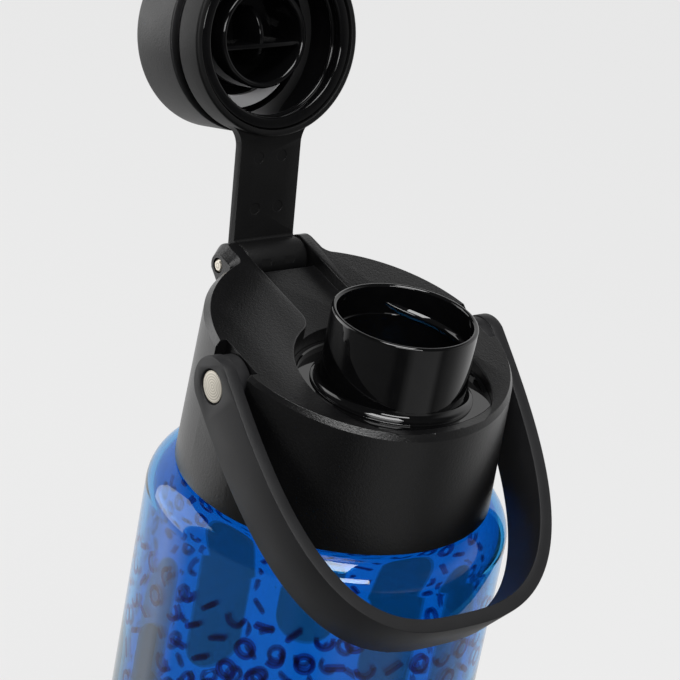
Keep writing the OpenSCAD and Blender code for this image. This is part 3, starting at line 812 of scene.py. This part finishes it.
def makeStrap():
    s, z0, c = strap, jug["lidZ"], spoutAxis
    m, t, seat = z0 + s["mouth"], z0 + s["ringTop"], z0 + s["seat"]
    line = arc(s["seatIn"] + s["seatEdge"], m + s["seatEdge"], s["seatEdge"], 180, 270, 3)
    line += arc(s["ringOut"] - s["mouthEdge"], m + s["mouthEdge"], s["mouthEdge"], -90, 0, 5)
    line += arc(s["ringOut"] - s["topEdge"], t - s["topEdge"], s["topEdge"], 0, 90, 4)
    line += [(s["ringIn"], t), (s["ringIn"], seat), (s["seatIn"], seat)]
    piece = lathe("strap", line + line[:1], s["ringSteps"], c)
    side = flareArc(s["ringOut"] - s["lap"], s["half"] - s["sideLap"], s["flare"], 14)
    first = math.degrees(math.atan2(side[0][1], side[0][0]))
    end = hinge.y - c[1]
    plan = arc(0, 0, s["seatIn"], 180 - first, first, 10) + side + [(s["half"], end), (-s["half"], end)]
    plan += [(-x, y) for x, y in reversed(side)]
    plan = [(x, y + c[1], topAt(y + c[1]) - s["drop"]) for x, y in plan]
    carve(piece, slab("band", plan, (0, 0, -s["thick"])), "UNION")
    n0 = (jug["hingeDrop"] - s["drop"] - s["thick"]) * tiltCos
    sc, nc, away = barrelFillet(n0, s["barrelR"], s["filletR"])
    web = [(0, n0 + s["webUp"]), (sc - s["webBack"], n0 + s["webUp"]), (sc - s["webBack"], n0)]
    web += arc(sc, nc, s["filletR"], 90, away - 180, 8) + [(0, 0)]
    carve(piece, slab("web", [(-s["half"], y, z) for y, z in atHinge(web)], (2 * s["half"], 0, 0)), "UNION")
    left, right = (Vector((x * s["barrelHalf"], hinge.y, hinge.z)) for x in (-1, 1))
    barrel = rod("barrel", s["barrelR"], left, right, 72)
    bevelWhere(barrel, s["barrelEdge"], 3, lambda e, p: sharp(e, 60))
    carve(piece, barrel, "UNION")

    def strapEdge(e, p):
        inside = abs(p.x) < s["edgeX"] and p.y > s["edgeY"]
        clear = abs(abs(p.x) - s["markX"][1]) > s["markRoom"]
        return sharp(e, 60) and inside and e.calc_length() > s["edgeLong"] * mm and clear

    # round marks of the ejector pins, on the strap and then on the barrel's front
    def mark(spot, start, end):
        carve(piece, rod("mark", s["markR"], spot + start, spot + end, 32))

    for x in s["markX"]:
        for y in s["markY"]:
            spot = Vector((x, y, topAt(y) - s["drop"] - s["thick"]))
            mark(spot, -topNormal * s["markOut"], topNormal * s["markD"])
    cleaned(piece)
    print("strap edges", bevelWhere(piece, s["edge"], 2, strapEdge))
    flipped(piece)
    out = Vector((0, *arc(0, 0, 1, s["markTurn"], s["markTurn"], 1)[0]))
    for x in s["markX"]:
        mark(Vector((x, hinge.y, hinge.z)) + out * s["barrelR"], -out * s["markD"], out * s["markOut"])
    smooth(piece)
    settle(piece, "strap", materials["strap"], ["strap_link"])


makeStrap()

# knob and gloss liner of the cap
cap = {
    "knobR": 27.9, "neckR": 25.5, "neckZ": 47.85, "knobZ": 51.8, "knobTop": 70.45, "edge": 2.0, "lowEdge": 0.5,
    "flatR": 20, "inR": 24.15, "inTop": 63.35, "steps": 144,
    "skirtOut": 24.0, "skirtIn": 22.5, "rim": 39.2, "rimOut": 0.4, "rimIn": 0.7, "flangeR": 25.7, "flangeT": 1.6,
    "ceiling": 60.85, "roof": 2.4, "beadZ": (3.2, 4.0, 4.8), "beadR": 0.6, "beadOff": 0.05,
    "plugOut": 14.8, "plugIn": 12.8, "plugZ": 45.1, "plugRoot": 0.8, "plugRoof": 0.4,
    "ribT": 1.4, "ribEdge": 0.3, "ribFree": 0.5, "ribSunk": 0.4,
    "webY": 2.65, "webZ": 46.7, "archR": 9.0, "archEnd": 20,
}


def makeKnob():
    k = cap
    line = [(k["inR"], k["inTop"]), (k["inR"], k["neckZ"]), (k["neckR"], k["neckZ"]), (k["neckR"], k["knobZ"])]
    line += arc(k["knobR"] - k["lowEdge"], k["knobZ"] + k["lowEdge"], k["lowEdge"], -90, 0, 4)
    line += arc(k["knobR"] - k["edge"], k["knobTop"] - k["edge"], k["edge"], 0, 90, 10)
    line += [(k["flatR"], k["knobTop"]), (0, k["knobTop"]), (0, k["inTop"]), (k["inR"], k["inTop"])]
    knob = lathe("capKnob", [(r, jug["lidZ"] + z) for r, z in line], k["steps"], spoutAxis)
    flipped(knob)
    smooth(knob)
    settle(knob, "cap", materials["knob"], ["cap_knob"])


def makeLiner():
    k, z0, c = cap, jug["lidZ"], spoutAxis
    rim, f, skirt, ceiling, root = k["rim"], k["flangeR"], k["skirtIn"], k["ceiling"], k["plugRoot"]
    roof, flange, plugTop = ceiling + k["roof"], rim + k["flangeT"], ceiling - k["plugRoof"]
    low, middle, high = (rim + z for z in k["beadZ"])
    line = [(0, ceiling), (0, roof), (k["skirtOut"], roof), (k["skirtOut"], flange), (f, flange)]
    line += arc(f - k["rimOut"], rim + k["rimOut"], k["rimOut"], 0, -90, 4)
    line += arc(skirt + k["rimIn"], rim + k["rimIn"], k["rimIn"], -90, -180, 6)
    line += [(skirt, low)] + arc(skirt + k["beadOff"], middle, k["beadR"], -90, -270, 8)
    line += [(skirt, high), (skirt, ceiling), (k["plugOut"] + root, ceiling)]
    line += arc(k["plugOut"] + root, ceiling - root, root, 90, 180, 4)
    tip = (k["plugOut"] - k["plugIn"]) / 2
    line += arc(k["plugOut"] - tip, k["plugZ"] + tip, tip, 0, -180, 10) + [(k["plugIn"], plugTop), (0, plugTop)]
    liner = lathe("capLiner", [(r, z0 + z) for r, z in line], k["steps"], c)
    # a straight web and an arch across it, inside the plug
    base, t = z0 + ceiling, k["ribT"] / 2
    half, y, z = math.sqrt(k["plugIn"] ** 2 - k["webY"] ** 2) + k["ribSunk"], c[1] + k["webY"] - t, z0 + k["webZ"]
    web = slab("web", [(-half, y, z), (half, y, z), (half, y, base), (-half, y, base)], (0, 2 * t, 0))
    bow = arc(0, k["webZ"] + k["archR"], k["archR"], k["archEnd"] - 180, -k["archEnd"], 24)
    bow = [(y + c[1], z + z0) for y, z in bow]
    arch = slab("arch", [(-t, y, z) for y, z in bow + [(bow[-1][0], base), (bow[0][0], base)]], (2 * t, 0, 0))
    for rib in (web, arch):
        bevelWhere(rib, k["ribEdge"], 3, lambda e, p: p.z < base - k["ribFree"] and sharp(e, 60))
    joined(liner, web, arch)
    flipped(liner)
    smooth(liner, 40)
    settle(liner, "cap", materials["capGloss"], ["cap_liner"])


makeKnob()
makeLiner()

# carry handle
handle = {
    "outX": 48.6, "reach": 81.5, "bow": 2.8, "steps": 44, "above": 10.0, "wide": 17.0, "thick": 4.0, "edge": 0.35,
    "endGap": 0.1, "endX": 70, "endZ": 120, "hubR": 8.2, "hubIn": 40.75, "hubLap": 0.5, "hubEdge": 0.4,
    "sinkR": 5.0, "sinkD": 1.3, "sinkX": 60, "sinkEdge": 0.3, "nearSink": 0.15, "nearFace": 0.2, "nearHub": 0.1,
}


def makeHandle():
    h, out, many = handle, handle["outX"], handle["steps"]
    half, power = [], 2 / handle["bow"]
    for i in range(many + 1):
        u = math.pi / 2 * i / many
        half.append((out * math.cos(u) ** power if i < many else 0.0, -h["reach"] * math.sin(u) ** power))
    line = [(-out, h["above"])] + [(-x, z) for x, z in half]
    line += [(x, z) for x, z in reversed(half[:-1])] + [(out, h["above"])]
    piece = drawLine("carryHandle", [(x, -h["wide"] / 2, z + pivot.z) for x, z in line])
    editing(piece)
    edit.extrude_region_move(TRANSFORM_OT_translate={"value": (0, h["wide"] * mm, 0)})
    outward()
    low = min(piece.data.polygons, key=lambda f: f.center.z)
    if low.normal.z > 0:
        editing(piece)
        edit.flip_normals()
        finished()
    applied(piece, "SOLIDIFY", thickness=h["thick"] * mm, offset=-1, use_even_offset=True)
    endR = h["wide"] / 2 + h["endGap"]
    end = arc(0, pivot.z, endR, 0, 180, 32) + [(-endR, h["endZ"]), (endR, h["endZ"])]
    carve(piece, slab("ends", [(-h["endX"], y, z) for y, z in end], (2 * h["endX"], 0, 0)), "INTERSECT")
    cleaned(piece)
    bevelWhere(piece, h["edge"], 2, lambda e, p: sharp(e, 40))

    def atPivot(x):
        return (x, 0, pivot.z)

    def sinkEdge(e, p):
        off = math.hypot(p.y, p.z - pivot.z) - h["sinkR"]
        return sharp(e, 50) and abs(off) < h["nearSink"] and abs(p.x) > out - h["nearFace"]

    for side in (1, -1):
        hubOut = out - h["thick"] + h["hubLap"]
        hub = rod("hub", h["hubR"], atPivot(side * h["hubIn"]), atPivot(side * hubOut), 72)
        bevelWhere(hub, h["hubEdge"], 2, lambda e, p: sharp(e, 40) and abs(p.x) < h["hubIn"] + h["nearHub"])
        carve(piece, hub, "UNION")
        carve(piece, rod("sink", h["sinkR"], atPivot(side * (out - h["sinkD"])), atPivot(side * h["sinkX"]), 64))
    bevelWhere(piece, h["sinkEdge"], 2, sinkEdge)
    turned(piece, -jug["handleRest"], "X", pivot)
    smooth(piece)
    settle(piece, "handle", materials["charcoal"], ["handle"])


makeHandle()

# rivets and pin
fixings = {
    "rivetR": 4.5, "rivetIn": 47.35, "rivetOut": 48.2, "rivetEdge": 0.15, "rivetSteps": 64,
    "shankR": 2.5, "tail": 34.8,
    "pinR": 1.85, "pinHalf": 17.3, "pinIn": 0.4, "pinEdge": 0.45, "pinOut": (0.05, 0.1), "pinSteps": 40,
}


def makeFixings():
    f, edge, heads = fixings, fixings["rivetEdge"], []
    for side in (1, -1):
        line = [(0.0, f["rivetOut"])]
        line += [(r, x) for x, r in arc(f["rivetOut"] - edge, f["rivetR"] - edge, edge, 0, 90, 4)]
        line += [(f["rivetR"], f["rivetIn"]), (f["shankR"], f["rivetIn"]), (f["shankR"], f["tail"]), (0.0, f["tail"])]
        heads.append(lathe("rivet", [(r, side * x) for r, x in line], f["rivetSteps"], (0, 0, pivot.z), "X"))
    piece = joined(*heads)
    piece.name = "rivets"
    smooth(piece)
    settle(piece, "lid", materials["rivet"], ["handle_rivets"])
    half, r, (edgeOut, out) = f["pinHalf"], f["pinR"], f["pinOut"]
    end = [(r, half - f["pinIn"]), (r - f["pinEdge"], half + edgeOut), (0.0, half + out)]
    pin = lathe("hingePin", [(u, -v) for u, v in reversed(end)] + end, f["pinSteps"], hinge, "X")
    smooth(pin)
    settle(pin, "lid", materials["pin"], ["hinge_pin"])


makeFixings()

# CAD pieces that stay as they are
kept = {"neck_gasket": "silicone", "cap_seal": "silicone", "thread_liner": "gloss", "rivet_washers": "rivet"}
for name, finish in kept.items():
    cad[name].data.materials.clear()
    cad[name].data.materials.append(materials[finish])
print("pieces ready")

# camera, worked out from the lid and spout in the photograph
view = {
    "azimuth": -40.1885, "elevation": 25.0466, "roll": 10.9536, "focal": 3101.99, "pixels": 680, "sensor": 36,
    "distance": 884.1635, "right": 1.997155, "up": 37.980643, "near": 0.01, "far": 20,
}


def added(name, data):
    holder = bpy.data.objects.new(name, data)
    bpy.context.scene.collection.objects.link(holder)
    return holder


def makeCamera():
    a, e, r = (math.radians(view[k]) for k in ("azimuth", "elevation", "roll"))
    back = Vector((math.sin(a) * math.cos(e), -math.cos(a) * math.cos(e), math.sin(e)))
    right = Vector((math.cos(a), math.sin(a), 0))
    up = back.cross(right)
    across = right * math.cos(r) + up * math.sin(r)
    upward = up * math.cos(r) - right * math.sin(r)
    spot = back * view["distance"] + across * view["right"] + upward * view["up"] + Vector((0, 0, jug["lidZ"]))
    data = bpy.data.cameras.new("camera")
    data.sensor_width = view["sensor"]
    data.lens = view["focal"] / view["pixels"] * view["sensor"]
    data.clip_start, data.clip_end = view["near"], view["far"]
    camera = added("camera", data)
    camera.matrix_world = Matrix((across, upward, back)).transposed().to_4x4()
    camera.location = spot * mm
    bpy.context.scene.camera = camera


makeCamera()

# light and surroundings, in metres
studio = {
    # name, place, width, height and glow
    "lamps": [("left", (-0.48, 0.67, 0.45), 0.6, 0.9, 2.2),
              ("top", (-0.15, -0.18, 0.95), 0.4, 0.4, 10.5),
              ("front", (-0.5, -1.04, 0.93), 0.9, 0.3, 10.0)],
    "aim": (0, 0, 0.23), "paper": 0.8, "dim": 0.06,
    "behind": (0.645, 0.764, 0.0), "aside": (0.764, -0.645, 0.0),  # level, as the camera looks
    "backSpan": (-0.35, 0.45), "lowSpan": (0.7, 0.42), "underSpan": (0.12, -0.06),
    # brightness of the table and low walls round the object, by degrees to the right of the camera
    "around": [(-180, 0.8), (-126, 0.9), (-108, 1.6), (-95, 0.9), (-84, 0.16), (-10, 0.12), (0, 0.04), (12, 0.05),
               (26, 0.4), (60, 0.45), (70, 0.12), (92, 0.3), (112, 0.6), (130, 0.8), (180, 0.8)],
    "floorR": 1.6, "floorTone": 0.8, "floorRough": 0.9, "floorGlow": 0.86, "floorShare": 0.9,
}


def makeLamps():
    for name, spot, wide, tall, glow in studio["lamps"]:
        lamp = bpy.data.lights.new(name, "AREA")
        lamp.shape, lamp.size, lamp.size_y, lamp.energy = "RECTANGLE", wide, tall, glow * math.pi * wide * tall
        holder = added(name, lamp)
        holder.location = spot
        holder.rotation_euler = (Vector(studio["aim"]) - Vector(spot)).to_track_quat("-Z", "Y").to_euler()


def makeWorld():
    world = bpy.data.worlds.new("studio")
    bpy.context.scene.world = world
    world.use_nodes = True
    tree = world.node_tree
    sky = tree.nodes["Background"]
    way = node(tree, "TexCoord").outputs["Generated"]

    def along(direction):
        return node(tree, "VectorMath", {0: way, 1: studio[direction]}, operation="DOT_PRODUCT").outputs["Value"]

    def eased(value, span):
        return mapped(tree, value, studio[span], interpolation_type="SMOOTHSTEP")

    behind, aside = along("behind"), along("aside")
    height = node(tree, "SeparateXYZ", {0: way}).outputs[2]
    paper = math2(tree, "MULTIPLY", eased(behind, "backSpan"), eased(height, "lowSpan"))
    wall = mapped(tree, paper, (0.0, 1.0), (studio["dim"], studio["paper"]))
    turn = math2(tree, "ARCTAN2", aside, math2(tree, "MULTIPLY", behind, -1.0))
    table = node(tree, "ValToRGB", {0: mapped(tree, turn, (-math.pi, math.pi))})
    stops = table.color_ramp.elements
    while len(stops) < len(studio["around"]):
        stops.new(0.5)
    for stop, (degrees, value) in zip(stops, studio["around"]):
        stop.position, stop.color = (degrees + 180) / 360, (value, value, value, 1)
    wall = mixed(tree, eased(height, "underSpan"), wall, table.outputs[0])
    # plain paper where the camera looks past the object or straight through it
    path = node(tree, "LightPath").outputs
    direct = math2(tree, "LESS_THAN", path["Glossy Depth"], 0.5)
    through = math2(tree, "MULTIPLY", path["Is Transmission Ray"], direct)
    seen = math2(tree, "MAXIMUM", path["Is Camera Ray"], through)
    feed(tree, sky, {"Color": (1, 1, 1, 1), "Strength": mixed(tree, seen, wall, studio["paper"])})


def makeFloor():
    only(None)
    edit.primitive_circle_add(vertices=64, radius=studio["floorR"], fill_type="NGON")
    floor = named("floor")
    tone = (studio["floorTone"],) * 3 + (1,)
    paper, tree, shader = newMaterial("paperSweep", {"Base Color": tone, "Roughness": studio["floorRough"]})
    glow = node(tree, "Emission", {"Color": (1, 1, 1, 1), "Strength": studio["floorGlow"]})
    path = node(tree, "LightPath").outputs
    seen = math2(tree, "MAXIMUM", path["Is Camera Ray"], path["Is Transmission Ray"])
    share = math2(tree, "MULTIPLY", seen, studio["floorShare"])
    mix = node(tree, "MixShader", {0: share, 1: shader.outputs[0], 2: glow.outputs[0]})
    feed(tree, tree.nodes["Material Output"], {"Surface": mix.outputs[0]})
    floor.data.materials.append(paper)
    floor.visible_glossy = False


makeLamps()
makeWorld()
makeFloor()
bpy.context.scene.view_settings.view_transform = "Standard"
print("studio ready")
